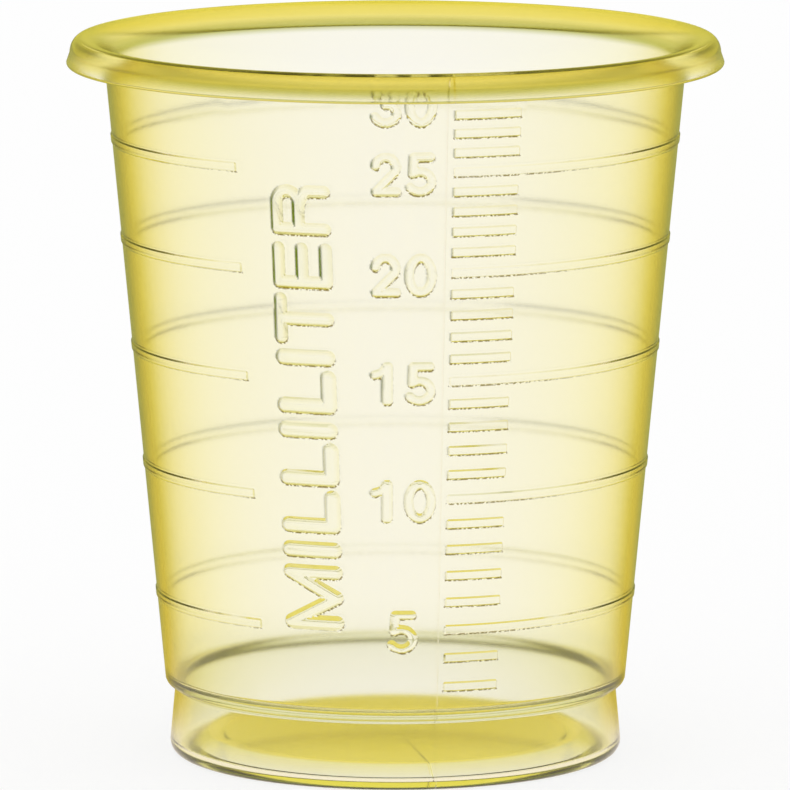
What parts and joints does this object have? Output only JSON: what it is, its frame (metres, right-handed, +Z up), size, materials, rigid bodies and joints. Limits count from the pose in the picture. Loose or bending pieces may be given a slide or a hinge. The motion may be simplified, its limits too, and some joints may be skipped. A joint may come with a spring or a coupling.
{
  "type": "medicine cup",
  "caption": "Small tapered measuring cup with a rolled rim, a stacking foot and raised fill lines, for handing out liquid or solid medicine.",
  "frame": {"origin": "middle of the standing ring, on the surface that the cup stands on", "axes": "+Z up through the mouth; the front with the scale faces -Y; +X to the right of someone who reads the scale"},
  "size_m": [0.0396, 0.0396, 0.0436],
  "materials": {
    "yellow_polypropylene": "translucent yellow, satin gloss, finely textured inside the wall"
  },
  "bodies": {
    "root": {"cup": "yellow_polypropylene"}
  },
  "joints": []
}
